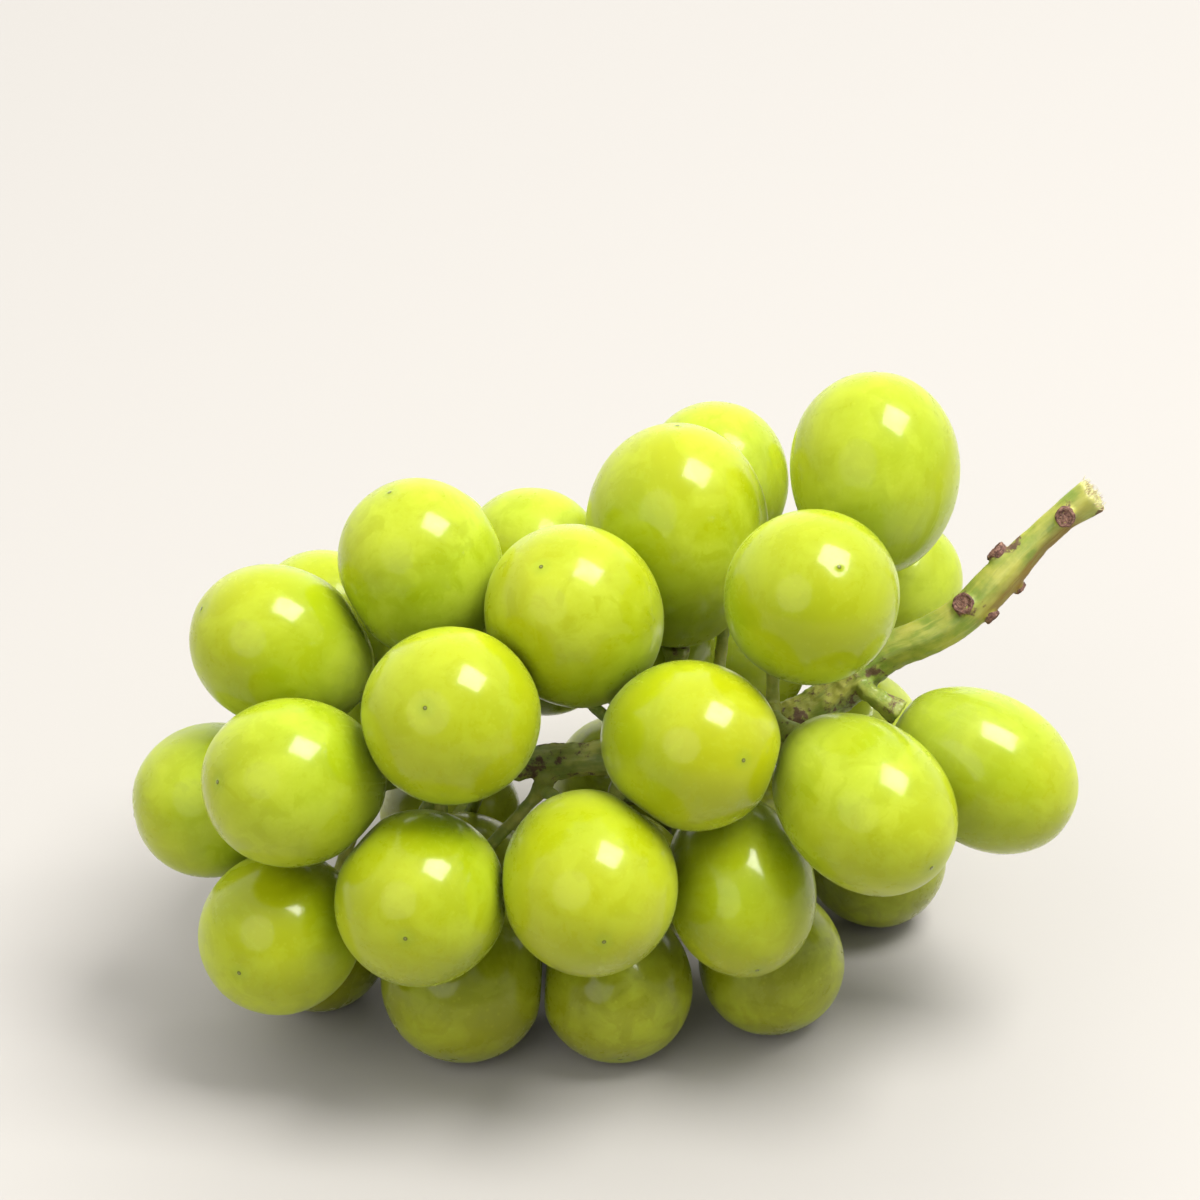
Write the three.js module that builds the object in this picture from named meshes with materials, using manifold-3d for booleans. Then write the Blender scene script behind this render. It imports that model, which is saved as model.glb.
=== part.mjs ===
// A bunch of large green table grapes, cut with its stalk and lying on its side.
// Millimetres, +Z up. The surface it lies on is z = 0, and the origin is the middle of its footprint.
// +X points along the bunch towards the cut end of the stalk.

import * as THREE from 'three';
import { mergeVertices } from 'three/addons/utils/BufferGeometryUtils.js';
import Module from 'manifold-3d';

const wasm = await Module();
wasm.setup();

const smoothStep = THREE.MathUtils.smoothstep;
const mix = THREE.MathUtils.lerp;

// ---- Driving dimensions, in mm ----

const BERRY_WIDTH = 28.5;
const BERRY_LENGTH = 32;
const BERRY_FULLNESS = 0.06; // how much wider the tip half of a berry is than its base half
const BERRY_SQUEEZE = 1.4; // how far two touching berries press into each other
const REST_SQUEEZE = 0.7; // how far a berry flattens on the surface under it
const CLEARANCE = 0.3; // between any two pieces that touch

const RACHIS_LENGTH = 84; // the main axis of the bunch, from its tail to its first shoulder
const RACHIS_TAIL_DIAMETER = 3.6;
const RACHIS_DIAMETER = 5.8;
const RACHIS_NODE_SWELLING = 1.1; // added to the diameter where a lateral leaves
const RACHIS_NODE_LENGTH = 4;

const STALK_LENGTH = 45; // from the first shoulder to the cut
const STALK_DIAMETER = 6.6;
const STALK_NECK_DIAMETER = 4.9;
const STALK_CUT_DIAMETER = 6.2;

const LATERAL_DIAMETER = 3.4;
const PEDICEL_DIAMETER = 2.3;
const PEDICEL_FOOT = 0.6; // added to a pedicel's diameter where it leaves its lateral
const PEDICEL_FOOT_LENGTH = 4;
const RECEPTACLE_DIAMETER = 5.2; // the knob under each berry
const RECEPTACLE_LENGTH = 3;
const SCAR_HEIGHT = 0.5; // how far a corky scar stands out of the stalk

// ---- Fineness of the facets ----

const BERRY_SIDES = 14;
const BERRY_BANDS = 7;
const AXIS_SIDES = 10;
const AXIS_STEP = 3;
const BRANCH_SIDES = 6;
const BRANCH_STEP = 3;
const SCAR_SIDES = 8;

// ---- How the bunch is arranged ----

const FORK_SHARE = 0.4; // how far out a lateral forks, from its root to the middle of its berries
const ROUTE_STEP = 4; // between the points of a branch's route
const SETTLE_ROUNDS = 600;
const SETTLE_PUSH = 0.3; // the share of an overlap that one round takes off each berry
const THREAD_ROUNDS = 160;
const THREAD_PULL = 0.3; // how much of its kink a route loses in one round
const FLATTEN_ROUNDS = 12;

// The bunch rests on its lowest berries, which hang this many berry widths under the rachis.
const RACHIS_HEIGHT = 1.54 * BERRY_WIDTH;

// Places in the bunch are given as [along, across, up]. along is a share of the rachis from its tail,
// across (away from the front) and up are berry widths from the tail's centre.
function place([along, across, up]) {
  return new THREE.Vector3(
    along * RACHIS_LENGTH,
    across * BERRY_WIDTH,
    RACHIS_HEIGHT + up * BERRY_WIDTH,
  );
}

const RACHIS_ROUTE = [
  [0, 0, -0.03],
  [0.2, -0.03, -0.02],
  [0.44, 0.02, 0],
  [0.62, 0, 0.07],
  [0.76, 0.02, 0.18],
  [0.9, 0.04, 0.38],
  [1, 0.1, 0.64],
];

// From the first shoulder to the cut, in shares of the stalk's length.
const STALK_ROUTE = [
  [0.18, 0, 0.09],
  [0.3, 0.01, 0.17],
  [0.37, 0.02, 0.24],
  [0.46, 0.04, 0.34],
  [0.59, 0.07, 0.48],
  [0.71, 0.08, 0.59],
  [0.76, 0.08, 0.63],
];

// Corky scars where tendrils and a shoulder were trimmed off: the share of the stalk's length where
// each one sits, the side it faces, and its width.
const SCARS = [
  { at: 0.39, facing: [-0.28, -0.64, 0.7], width: 3.4 },
  { at: 0.42, facing: [0.66, -0.5, -0.56], width: 2.6 },
  { at: 0.56, facing: [0.66, -0.22, -0.72], width: 2.2 },
  { at: 0.6, facing: [-0.62, 0.3, 0.72], width: 3.4 },
  { at: 0.88, facing: [-0.05, -0.9, 0.43], width: 3.1 },
];

// The laterals, from the tail to the first shoulder. Each one leaves the rachis at a share of its
// length and carries its berries on pedicels. A berry has its seat in the bunch, its size as shares
// of a full-grown berry, and the way its tip points where it doesn't point straight away from its root.
const LATERALS = [
  {
    at: 0.04,
    berries: [
      { seat: [-0.31, -0.2, -0.15], width: 0.92, length: 0.88 },
      { seat: [-0.17, -0.9, -0.6], width: 0.94, length: 0.9, tip: [-0.41, -0.91, 0.04] },
    ],
  },
  {
    at: 0.11,
    berries: [
      { seat: [-0.17, 0, 0.75], width: 0.94, length: 1, tip: [-0.8, -0.18, 0.58] },
      { seat: [-0.11, 0.85, 0.4], width: 0.9, length: 0.86 },
      { seat: [0.1, 1.6, 0.5], width: 0.82, length: 0.8 },
    ],
  },
  {
    at: 0.16,
    berries: [
      { seat: [-0.13, -0.9, 0.4], width: 0.97, length: 0.98, tip: [-0.73, -0.58, 0.36] },
      { seat: [0.11, -1.15, -0.2], width: 0.99, length: 1, tip: [-0.12, -0.98, 0.15] },
    ],
  },
  {
    at: 0.18,
    berries: [
      { seat: [-0.11, -0.2, -1.15], width: 0.82, length: 0.78, tip: [-0.6, -0.15, -0.6] },
      { seat: [0.17, 0.2, -1.1], width: 0.94, length: 0.9, tip: [0.35, 0.3, -0.7] },
      { seat: [-0.19, 0.65, -0.6], width: 0.92, length: 0.9 },
    ],
  },
  {
    at: 0.26,
    berries: [
      { seat: [0.17, -0.85, 0.8], width: 1.01, length: 0.95, tip: [-0.24, -0.79, 0.57] },
      { seat: [0.1, 0.2, 1.15], width: 0.96, length: 0.98, tip: [-0.32, -0.04, 0.95] },
    ],
  },
  {
    at: 0.28,
    berries: [
      { seat: [0.05, 1.2, -0.3], width: 0.96, length: 0.94 },
      { seat: [0.31, 1.1, 0.7], width: 0.88, length: 0.84, tip: [0, 0.75, 0.6] },
      { seat: [0.13, 1.1, -1.1], width: 0.9, length: 0.86, tip: [-0.2, 0.8, -0.5] },
    ],
  },
  {
    at: 0.36,
    berries: [
      { seat: [0.43, -1.2, -0.05], width: 1, length: 1.04, tip: [0.15, -0.99, -0.04] },
      { seat: [0.18, -0.6, -1.05], width: 0.98, length: 0.93, tip: [-0.1, -0.7, -0.6] },
    ],
  },
  {
    at: 0.48,
    berries: [
      { seat: [0.61, -0.8, 0.6], width: 0.97, length: 1.03, tip: [0.5, -0.8, 0.3] },
      { seat: [0.41, -0.2, 1.05], width: 1.02, length: 1.06, tip: [-0.32, -0.48, 0.82] },
    ],
  },
  {
    at: 0.51,
    berries: [
      { seat: [0.48, -0.7, -1.1], width: 0.9, length: 0.84, tip: [0.05, -0.75, -0.6] },
      { seat: [0.48, 0.3, -1.1], width: 0.94, length: 0.88, tip: [0.3, 0.4, -0.75] },
    ],
  },
  {
    at: 0.55,
    berries: [
      { seat: [0.33, 1.65, -0.15], width: 0.94, length: 0.92 },
      { seat: [0.5, 1.5, -1.1], width: 0.9, length: 0.85, tip: [-0.1, 0.85, -0.4] },
      { seat: [0.55, 1, 0.2], width: 0.85, length: 0.82 },
    ],
  },
  {
    at: 0.63,
    berries: [
      { seat: [0.72, -0.8, -0.35], width: 0.88, length: 0.98, tip: [0.17, -0.85, -0.51] },
      { seat: [0.79, -0.45, -1.1], width: 0.88, length: 0.81, tip: [0.25, -0.6, -0.6] },
    ],
  },
  {
    at: 0.67,
    berries: [
      { seat: [0.73, 1.55, -0.2], width: 0.95, length: 0.93 },
      { seat: [0.69, 1.6, 1], width: 0.91, length: 0.9, tip: [-0.1, 0.8, 0.6] },
      { seat: [0.75, 0.9, -1.1], width: 0.9, length: 0.85, tip: [0.35, 0.5, -0.6] },
    ],
  },
  {
    at: 0.71,
    berries: [
      { seat: [0.6, 0.65, 1.12], width: 1.09, length: 1.2, tip: [0, 0.2, 0.98] },
    ],
  },
  {
    at: 0.79,
    berries: [
      { seat: [0.85, -0.4, 1.3], width: 1, length: 0.95, tip: [0.25, -0.64, 0.73] },
      { seat: [0.95, -0.95, 0.3], width: 0.94, length: 1.07, tip: [0.6, -0.77, -0.24] },
    ],
  },
  {
    at: 0.83,
    berries: [
      { seat: [0.99, 1.4, -0.7], width: 0.88, length: 0.83 },
      { seat: [1.02, 0.65, -1.1], width: 0.86, length: 0.82, tip: [0.6, 0.3, -0.5] },
      { seat: [0.79, 1.9, -1.1], width: 0.9, length: 0.86, tip: [0.1, 0.85, -0.4] },
    ],
  },
  {
    at: 0.9,
    berries: [
      { seat: [0.99, 0.55, 1.6], width: 1, length: 1.06, tip: [0, 0.47, 0.85] },
      { seat: [1, 1.7, 1.05], width: 0.84, length: 0.8, tip: [0.35, 0.9, 0.15] },
      { seat: [1.06, 1.05, 0.6], width: 0.78, length: 0.74 },
      { seat: [1.02, 1.85, 0.2], width: 0.88, length: 0.85 },
    ],
  },
  {
    at: 0.95,
    berries: [
      {
        seat: [1.2, -0.35, 0.15],
        width: 0.9,
        length: 1.03,
        tip: [0.83, -0.27, -0.48],
        over: [0.99, -0.05, 0.5],
      },
    ],
  },
];

// ---- Materials ----

function material(colour, roughness) {
  return new THREE.MeshStandardMaterial({ color: colour, roughness, metalness: 0 });
}

const berryMaterial = () => material(0xa9c61c, 0.32);
const stemMaterial = () => material(0x93a548, 0.65);

// ---- Geometry helpers ----

// A closed indexed geometry with its corners merged and its collapsed triangles left out.
function closed(geometry) {
  geometry.deleteAttribute('normal');
  geometry.deleteAttribute('uv');
  const merged = mergeVertices(geometry, 1e-4);
  const kept = [];
  for (let i = 0; i < merged.index.count; i += 3) {
    const corners = [0, 1, 2].map((k) => merged.index.getX(i + k));
    if (new Set(corners).size === 3) kept.push(...corners);
  }
  merged.setIndex(kept);
  return merged;
}

function toSolid(geometry) {
  const vertProperties = new Float32Array(geometry.attributes.position.array);
  const triVerts = new Uint32Array(geometry.index.array);
  return new wasm.Manifold(new wasm.Mesh({ numProp: 3, vertProperties, triVerts }));
}

function toGeometry(solid) {
  const { vertProperties, triVerts } = solid.getMesh();
  const geometry = new THREE.BufferGeometry();
  geometry.setAttribute('position', new THREE.BufferAttribute(vertProperties, 3));
  geometry.setIndex(new THREE.BufferAttribute(triVerts, 1));
  return geometry;
}

// A round bar along a path, with its own diameter at each section. diameterAt takes the distance
// from the path's start and the path's whole length.
function bar(points, sides, step, diameterAt) {
  const path = new THREE.CatmullRomCurve3(points, false, 'centripetal');
  const length = path.getLength();
  const steps = Math.max(3, Math.round(length / step));
  const wire = 0.2;
  const outline = [];
  for (let i = 0; i < sides; i += 1) {
    const turn = (2 * Math.PI * i) / sides;
    outline.push(new THREE.Vector2(wire * Math.cos(turn), wire * Math.sin(turn)));
  }
  const geometry = closed(
    new THREE.ExtrudeGeometry(new THREE.Shape(outline), {
      steps,
      bevelEnabled: false,
      extrudePath: path,
    }),
  );
  const centres = path.getSpacedPoints(steps);
  const position = geometry.attributes.position;
  const corner = new THREE.Vector3();
  for (let i = 0; i < position.count; i += 1) {
    corner.fromBufferAttribute(position, i);
    let nearest = 0;
    centres.forEach((centre, k) => {
      if (centre.distanceTo(corner) < centres[nearest].distanceTo(corner)) nearest = k;
    });
    const centre = centres[nearest];
    const radius = diameterAt((length * nearest) / steps, length) / 2;
    corner.sub(centre).multiplyScalar(radius / wire).add(centre);
    position.setXYZ(i, corner.x, corner.y, corner.z);
  }
  return geometry;
}

// ---- Where the berries sit ----

const rachisPoints = RACHIS_ROUTE.map(place);
const shoulder = rachisPoints[rachisPoints.length - 1];
const stalkPoints = STALK_ROUTE.map(([x, y, z]) =>
  new THREE.Vector3(x, y, z).multiplyScalar(STALK_LENGTH).add(shoulder),
);
const rachisCurve = new THREE.CatmullRomCurve3(rachisPoints, false, 'centripetal');

// The point of the rachis over a share of its length along X.
function rachisAt(share) {
  const x = share * RACHIS_LENGTH;
  let low = 0;
  let high = 1;
  for (let i = 0; i < 30; i += 1) {
    const middle = (low + high) / 2;
    if (rachisCurve.getPoint(middle).x < x) low = middle;
    else high = middle;
  }
  return rachisCurve.getPoint(low);
}

function makeBerries() {
  const berries = [];
  for (const lateral of LATERALS) {
    const root = rachisAt(lateral.at);
    for (const { seat, width, length, tip, over } of lateral.berries) {
      const centre = place(seat);
      const axis = tip ? new THREE.Vector3(...tip) : centre.clone().sub(root);
      berries.push({
        lateral,
        root,
        centre,
        axis: axis.normalize(),
        width: width * BERRY_WIDTH,
        length: Math.max(length * BERRY_LENGTH, 1.03 * width * BERRY_WIDTH),
        over: over && place(over),
      });
    }
  }
  return berries;
}

// How far a berry reaches from its centre in a direction.
function reach(berry, direction) {
  const along = berry.axis.dot(direction);
  return Math.sqrt(
    (along * berry.length * 0.5) ** 2 + (1 - along * along) * (berry.width * 0.5) ** 2,
  );
}

// Presses berries that overlap apart and lifts those that reach through the surface, until no two
// of them are squeezed by more than a ripe berry gives.
function settle(berries) {
  const down = new THREE.Vector3(0, 0, -1);
  const apart = new THREE.Vector3();
  for (let round = 0; round < SETTLE_ROUNDS; round += 1) {
    for (const [i, one] of berries.entries()) {
      for (const other of berries.slice(i + 1)) {
        apart.subVectors(other.centre, one.centre);
        const distance = apart.length();
        apart.divideScalar(distance);
        const room = reach(one, apart) + reach(other, apart) - BERRY_SQUEEZE;
        if (distance < room) {
          const push = (room - distance) * SETTLE_PUSH;
          one.centre.addScaledVector(apart, -push);
          other.centre.addScaledVector(apart, push);
        }
      }
    }
    for (const berry of berries) {
      const lowest = reach(berry, down) - REST_SQUEEZE;
      if (berry.centre.z < lowest) berry.centre.z = lowest;
    }
  }
}

// ---- Berries ----

// Half a berry's outline, from its base on the axis to its tip: a flat where the receptacle meets it,
// then an oval that is fullest past the middle.
function berryProfile(width, length) {
  const baseAngle = Math.asin(RECEPTACLE_DIAMETER / width);
  const profile = [];
  for (let i = 0; i <= BERRY_BANDS; i += 1) {
    const angle = mix(baseAngle, Math.PI, i / BERRY_BANDS);
    const along = -Math.cos(angle);
    const fullness = 1 + BERRY_FULLNESS * (along - 0.3);
    profile.push(new THREE.Vector2(Math.sin(angle) * fullness * width * 0.5, along * length * 0.5));
  }
  profile[BERRY_BANDS].x = 0;
  const base = new THREE.Vector2(0, profile[0].y);
  return [base, ...profile];
}

// The flat under a berry, measured from its centre along its axis.
function baseDistance(berry) {
  return -berryProfile(berry.width, berry.length)[0].y;
}

function berryGeometry(berry, berries) {
  const geometry = closed(
    new THREE.LatheGeometry(berryProfile(berry.width, berry.length), BERRY_SIDES),
  );
  const turn = new THREE.Quaternion().setFromUnitVectors(new THREE.Vector3(0, 1, 0), berry.axis);
  geometry.applyQuaternion(turn);

  // A flat where each neighbour presses on it, half the clearance back from the shared plane.
  const flats = [];
  for (const other of berries) {
    if (other === berry) continue;
    const normal = other.centre.clone().sub(berry.centre);
    const distance = normal.length();
    normal.divideScalar(distance);
    const mine = reach(berry, normal) * (1 + BERRY_FULLNESS);
    const theirs = reach(other, normal) * (1 + BERRY_FULLNESS);
    const overlap = mine + theirs + CLEARANCE - distance;
    if (overlap > 0) flats.push({ normal, limit: mine - overlap / 2 });
  }
  const position = geometry.attributes.position;
  const corner = new THREE.Vector3();
  for (let i = 0; i < position.count; i += 1) {
    corner.fromBufferAttribute(position, i);
    for (let pass = 0; pass < FLATTEN_ROUNDS; pass += 1) {
      for (const { normal, limit } of flats) {
        const past = corner.dot(normal) - limit;
        if (past > 0) corner.addScaledVector(normal, -past);
      }
    }
    position.setXYZ(i, corner.x, corner.y, corner.z);
  }
  return geometry;
}

// Cuts off what would be pressed through the surface, so that the berry stands on a real flat.
function flattenOnSurface(geometry, height) {
  geometry.computeBoundingBox();
  if (geometry.boundingBox.min.z > -height) return geometry;
  const depth = BERRY_WIDTH;
  const slab = new THREE.BoxGeometry(2 * BERRY_LENGTH, 2 * BERRY_LENGTH, depth);
  slab.translate(0, 0, -height - depth / 2);
  return toGeometry(toSolid(geometry).subtract(toSolid(closed(slab))));
}

// ---- Stem ----

function rachisDiameter(share) {
  return mix(RACHIS_TAIL_DIAMETER, RACHIS_DIAMETER, smoothStep(share, 0, 0.5));
}

// The rachis and the stalk as one bar, swollen where the laterals leave it.
function mainAxis() {
  const rachisRun = rachisCurve.getLength();
  const nodes = LATERALS.map(({ at }) => rachisAt(at));
  const path = [...rachisPoints, ...stalkPoints];
  const whole = new THREE.CatmullRomCurve3(path, false, 'centripetal');
  return bar(path, AXIS_SIDES, AXIS_STEP, (distance, length) => {
    const share = distance / rachisRun;
    if (share < 1) {
      const here = whole.getPointAt(distance / length);
      const gap = Math.min(...nodes.map((node) => node.distanceTo(here)));
      const swelling = RACHIS_NODE_SWELLING * Math.exp(-((gap / RACHIS_NODE_LENGTH) ** 2) * 2);
      return mix(rachisDiameter(share), STALK_DIAMETER, smoothStep(share, 0.8, 1)) + swelling;
    }
    const stalkShare = (distance - rachisRun) / (length - rachisRun);
    const neck = mix(STALK_DIAMETER, STALK_NECK_DIAMETER, smoothStep(stalkShare, 0.5, 0.75));
    return mix(neck, STALK_CUT_DIAMETER, smoothStep(stalkShare, 0.85, 1));
  });
}

// A low corky button on the side of the stalk.
function scarGeometry({ at, facing, width }) {
  const whole = new THREE.CatmullRomCurve3([shoulder, ...stalkPoints], false, 'centripetal');
  const side = new THREE.Vector3(...facing);
  const along = whole.getTangentAt(at);
  side.addScaledVector(along, -side.dot(along)).normalize();
  const radius = width / 2;
  const depth = STALK_DIAMETER / 2;
  const profile = [
    new THREE.Vector2(0, 0),
    new THREE.Vector2(radius * 0.9, 0),
    new THREE.Vector2(radius * 1.05, depth),
    new THREE.Vector2(radius * 0.85, depth + SCAR_HEIGHT),
    new THREE.Vector2(0, depth + SCAR_HEIGHT * 0.6),
  ];
  const geometry = closed(new THREE.LatheGeometry(profile, SCAR_SIDES));
  const turn = new THREE.Quaternion().setFromUnitVectors(new THREE.Vector3(0, 1, 0), side);
  geometry.applyQuaternion(turn);
  const centre = whole.getPointAt(at);
  geometry.translate(centre.x, centre.y, centre.z);
  return geometry;
}

// How far a point must go to clear a berry's skin by a bar of the given radius.
function shortfall(point, berry, radius) {
  const away = point.clone().sub(berry.centre);
  const distance = away.length();
  const along = away.dot(berry.axis) / distance;
  const skin = 1 / Math.hypot(
    along / (berry.length * 0.5),
    Math.sqrt(1 - along * along) / (berry.width * 0.5),
  );
  return skin + radius + CLEARANCE - distance;
}

// Moves a point out of the berries, sideways to a heading if there is one.
function moveClear(point, berries, radius, heading) {
  for (const berry of berries) {
    const room = shortfall(point, berry, radius);
    if (room <= 0) continue;
    const away = point.clone().sub(berry.centre);
    if (heading) away.addScaledVector(heading, -away.dot(heading));
    point.addScaledVector(away.normalize(), room);
  }
}

// Threads a route between the berries, keeping it short. Its first point and its last few stay.
function threadBetween(points, berries, radius, fixedEnd) {
  for (let round = 0; round < THREAD_ROUNDS; round += 1) {
    for (let i = 1; i < points.length - fixedEnd; i += 1) {
      const heading = points[i + 1].clone().sub(points[i - 1]).normalize();
      const middle = points[i - 1].clone().add(points[i + 1]).multiplyScalar(0.5);
      points[i].lerp(middle, THREAD_PULL);
      moveClear(points[i], berries, radius, heading);
    }
  }
  return points;
}

function straightRoute(from, to) {
  const count = 1 + Math.max(2, Math.round(from.distanceTo(to) / ROUTE_STEP));
  const points = [];
  for (let i = 0; i < count; i += 1) points.push(from.clone().lerp(to, i / (count - 1)));
  return points;
}

// The stretch of a pedicel that runs straight into its berry, from farthest to nearest.
function receptacleEnd(berry) {
  const face = baseDistance(berry) + CLEARANCE * 1.5;
  return [RECEPTACLE_LENGTH * 1.6, RECEPTACLE_LENGTH * 0.8, 0].map((back) =>
    berry.centre.clone().addScaledVector(berry.axis, -face - back),
  );
}

function pedicelGeometry(from, berry, berries, diameter) {
  const end = receptacleEnd(berry);
  const start = berry.over ? straightRoute(from, berry.over) : [from.clone()];
  const run = straightRoute(start[start.length - 1], end[0]).slice(1);
  const points = [...start, ...run, ...end.slice(1)];
  const route = threadBetween(points, berries, diameter / 2, end.length);
  return bar(route, BRANCH_SIDES, BRANCH_STEP, (distance, length) => {
    const knob = smoothStep(distance, length - RECEPTACLE_LENGTH * 1.3, length - 0.6);
    const foot = 1 - smoothStep(distance, 0, PEDICEL_FOOT_LENGTH);
    return mix(diameter, RECEPTACLE_DIAMETER, knob) + foot * PEDICEL_FOOT;
  });
}

// A lateral runs from the rachis to a fork, and its pedicels leave from there. A lateral of one berry
// runs all the way to it.
function lateralGeometries(lateral, berries) {
  const mine = berries.filter((berry) => berry.lateral === lateral);
  const root = mine[0].root;
  if (mine.length === 1) return [pedicelGeometry(root, mine[0], berries, LATERAL_DIAMETER)];
  const fork = new THREE.Vector3();
  for (const berry of mine) fork.add(receptacleEnd(berry)[0]);
  fork.divideScalar(mine.length).sub(root).multiplyScalar(FORK_SHARE).add(root);
  for (let round = 0; round < THREAD_ROUNDS; round += 1) {
    moveClear(fork, berries, LATERAL_DIAMETER / 2);
  }
  const points = threadBetween(straightRoute(root, fork), berries, LATERAL_DIAMETER / 2, 1);
  const arm = bar(points, BRANCH_SIDES, BRANCH_STEP, (distance, length) =>
    mix(LATERAL_DIAMETER * 1.15, LATERAL_DIAMETER, smoothStep(distance, 0, length)),
  );
  const tip = points[points.length - 1];
  return [arm, ...mine.map((berry) => pedicelGeometry(tip, berry, berries, PEDICEL_DIAMETER))];
}

function stemGeometry(berries, berrySolids) {
  const pieces = [mainAxis(), ...SCARS.map(scarGeometry)];
  for (const lateral of LATERALS) pieces.push(...lateralGeometries(lateral, berries));
  let stem = toSolid(pieces[0]);
  for (const piece of pieces.slice(1)) stem = stem.add(toSolid(piece));
  for (const keepOut of berrySolids) stem = stem.subtract(keepOut);
  // Where two bars share a surface the join can leave closed specks of no volume inside it.
  const real = stem.decompose().filter((part) => Math.abs(part.volume()) > 1e-3);
  return toGeometry(wasm.Manifold.compose(real));
}

// ---- Assembly ----

const berries = makeBerries();
settle(berries);

const bunch = new THREE.Group();
const berrySolids = [];
berries.forEach((berry, index) => {
  const geometry = flattenOnSurface(berryGeometry(berry, berries), berry.centre.z);
  geometry.computeVertexNormals();
  const mesh = new THREE.Mesh(geometry, berryMaterial());
  mesh.name = `berry_${String(index + 1).padStart(2, '0')}`;
  mesh.position.copy(berry.centre);
  bunch.add(mesh);

  const grown = 1 + (2 * CLEARANCE) / berry.width;
  const keepOut = berryGeometry(berry, berries);
  keepOut.scale(grown, grown, grown);
  keepOut.translate(berry.centre.x, berry.centre.y, berry.centre.z);
  berrySolids.push(toSolid(keepOut));
});

const stem = new THREE.Mesh(stemGeometry(berries, berrySolids), stemMaterial());
stem.geometry.computeVertexNormals();
stem.name = 'stem';
bunch.add(stem);

bunch.updateMatrixWorld(true);
const box = new THREE.Box3().setFromObject(bunch, true);
const middle = box.getCenter(new THREE.Vector3());
bunch.position.set(-middle.x, -middle.y, -box.min.z);

export default bunch;
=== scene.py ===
import math

import bmesh
import bpy
import numpy as np
from mathutils import Matrix, Vector, kdtree, noise
from mathutils.bvhtree import BVHTree


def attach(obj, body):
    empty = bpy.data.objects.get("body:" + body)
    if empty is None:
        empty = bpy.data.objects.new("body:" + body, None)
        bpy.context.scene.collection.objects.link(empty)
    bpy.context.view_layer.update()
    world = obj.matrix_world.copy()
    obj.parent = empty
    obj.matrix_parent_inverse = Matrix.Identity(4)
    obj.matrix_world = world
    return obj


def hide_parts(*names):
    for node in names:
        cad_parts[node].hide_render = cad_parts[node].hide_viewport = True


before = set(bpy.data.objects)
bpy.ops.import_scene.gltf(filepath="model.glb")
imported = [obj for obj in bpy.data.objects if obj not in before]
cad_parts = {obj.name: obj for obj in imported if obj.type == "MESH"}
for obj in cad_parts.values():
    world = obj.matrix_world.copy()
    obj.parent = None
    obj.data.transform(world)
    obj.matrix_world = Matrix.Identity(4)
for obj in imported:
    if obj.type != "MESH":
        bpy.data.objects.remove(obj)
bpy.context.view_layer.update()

MM = 0.001
BERRIES = sorted(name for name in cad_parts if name.startswith("berry_"))

# ---- Sizes, in metres ----

FULLNESS = 0.06  # how much wider the tip half of a berry is than its base half
TOUCH_GAP = 0.1 * MM  # left between two berries that press on each other
PRESS_SOFTNESS = 0.3 * MM  # how gently the skin rolls over into a pressed flat
REST_SOFTNESS = 0.12 * MM  # the same, where a berry rests
HELD_BAND = 1.2 * MM  # how far short of a flat the skin still counts as partly held
PRESS_REACH = 1.5 * MM  # neighbours whose skins are further apart leave a berry alone
RESTING_BELOW = 0.05 * MM  # a berry whose lowest corner is under this rests on the surface
FIT_ROUNDS = 60
FIT_TRUST = 0.15 * MM  # corners further than this off the fitted berry count for little
FIT_HALF_WIDTH = 13.5 * MM  # where the fit starts
STEM_VOXEL = 0.42 * MM
STEM_GAP = 0.03 * MM  # kept between the stem and a berry's skin
SAME_POINT = 0.002 * MM  # corners of a CAD solid closer than this are one

BERRY_SIDES = 72
BERRY_RINGS = 60
RING_CROWDING = 0.42  # how strongly the rings crowd towards a berry's base and tip
CHANCE_SEED = 7

# Berries whose middle is lower than the first height below are painted darker olive as shade,
# fully so at the second distance below it.
LOW_SHADE_FROM = 24 * MM
LOW_SHADE_OVER = 12 * MM

# Berries that kept all of their bloom, and those that were handled until they shone.
WAXY = {"berry_12": 1.0, "berry_28": 1.0, "berry_30": 0.9, "berry_32": 0.7, "berry_08": 0.8,
        "berry_07": 0.2, "berry_11": 0.1, "berry_16": 0.15, "berry_18": 0.1, "berry_31": 0.1}

# The main axis of the stem, as the part is built: the rachis in shares of its length, berry widths
# across and berry widths up, and the stalk beyond it in shares of its own length.
BERRY_WIDTH = 28.5 * MM
RACHIS_LENGTH = 84 * MM
RACHIS_HEIGHT = 1.54 * BERRY_WIDTH
STALK_LENGTH = 45 * MM
STALK_DIAMETER = 6.6 * MM
STALK_CUT_DIAMETER = 6.2 * MM
SCAR_HEIGHT = 0.5 * MM
PART_SHIFT = np.array([-40.1734, -8.4846, 0]) * MM
RACHIS_ROUTE = [[0, 0, -0.03], [0.2, -0.03, -0.02], [0.44, 0.02, 0], [0.62, 0, 0.07],
                [0.76, 0.02, 0.18], [0.9, 0.04, 0.38], [1, 0.1, 0.64]]
STALK_ROUTE = [[0.18, 0, 0.09], [0.3, 0.01, 0.17], [0.37, 0.02, 0.24], [0.46, 0.04, 0.34],
               [0.59, 0.07, 0.48], [0.71, 0.08, 0.59], [0.76, 0.08, 0.63]]
LATERAL_ROOTS = [0.04, 0.11, 0.16, 0.18, 0.26, 0.28, 0.36, 0.48, 0.51, 0.55, 0.63, 0.67, 0.71,
                 0.79, 0.83, 0.9, 0.95]
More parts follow.
